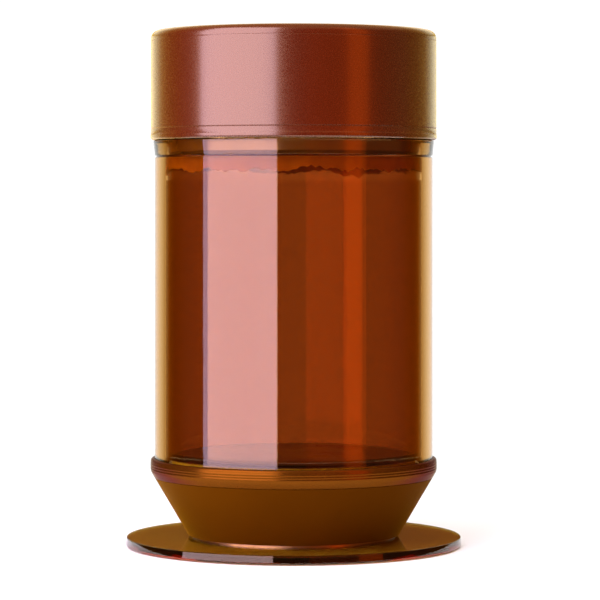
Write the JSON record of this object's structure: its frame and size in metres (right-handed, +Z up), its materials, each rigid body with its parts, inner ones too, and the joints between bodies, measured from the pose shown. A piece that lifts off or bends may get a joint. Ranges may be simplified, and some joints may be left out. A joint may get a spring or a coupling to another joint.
{
  "type": "footed specimen jar",
  "caption": "Footed specimen jar: clear cylindrical tube with a dark amber inner cup, satin screw cap with a captive stopper, and a conical base on a wide thin disc foot.",
  "frame": {"origin": "centre of the ring face that the jar rests on", "axes": "+Z up along the jar's axis, towards the cap; the jar is round, so X and Y are free"},
  "size_m": [0.0965, 0.0964, 0.148],
  "materials": {
    "grip_rubber": "matt silicone rubber",
    "foot_polish": "polished dark amber acrylic",
    "spacer_metal": "bright turned edge",
    "screw_steel": "plain steel",
    "cone_paint": "matt brown paint",
    "plate_aluminium": "turned, satin",
    "copper_satin": "satin copper-brown metallic lacquer",
    "seal_rubber": "smooth brown rubber",
    "clear_tube": "clear polished acrylic",
    "clear_neck": "clear polished acrylic",
    "amber_cup": "dark amber, polished",
    "bond_sealant": "clear orange sealant",
    "pad_rubber": "pale silicone",
    "stopper_plastic": "olive-brown moulded plastic",
    "washer_plastic": "natural nylon",
    "insert_plastic": "dark brown moulded plastic"
  },
  "bodies": {
    "jar": {"foot_grip_ring": "grip_rubber", "foot_disc": "foot_polish", "foot_spacer": "spacer_metal", "foot_screw": "screw_steel", "foot_cone": "cone_paint", "base_plate": "plate_aluminium", "collar": "copper_satin", "collar_screws": "screw_steel", "tube_gasket": "seal_rubber", "outer_tube": "clear_tube", "inner_cup": "amber_cup", "cup_bond": "bond_sealant", "cup_support": "plate_aluminium", "cup_pad": "pad_rubber", "neck_ring": "clear_neck"},
    "stopper": {"stopper": "stopper_plastic", "lower_o_ring": "seal_rubber", "upper_o_ring": "seal_rubber", "swivel_screw": "screw_steel", "swivel_washer": "washer_plastic"},
    "cap": {"cap_shell": "copper_satin", "cap_insert": "insert_plastic", "cap_liner": "seal_rubber"}
  },
  "joints": [
    {"name": "stopper_rise", "type": "slide", "parent": "jar", "child": "stopper", "axis": [0, 0, 1], "range_m": [0, 0.0241]},
    {"name": "cap_turn", "type": "hinge", "parent": "stopper", "child": "cap", "pos_m": [0, 0, 0.13], "axis": [0, 0, 1], "range_deg": [0, 720]}
  ],
  "couplings": [
    {"joint": "stopper_rise", "follows": "cap_turn", "m_per_rad": 0.0019099}
  ]
}
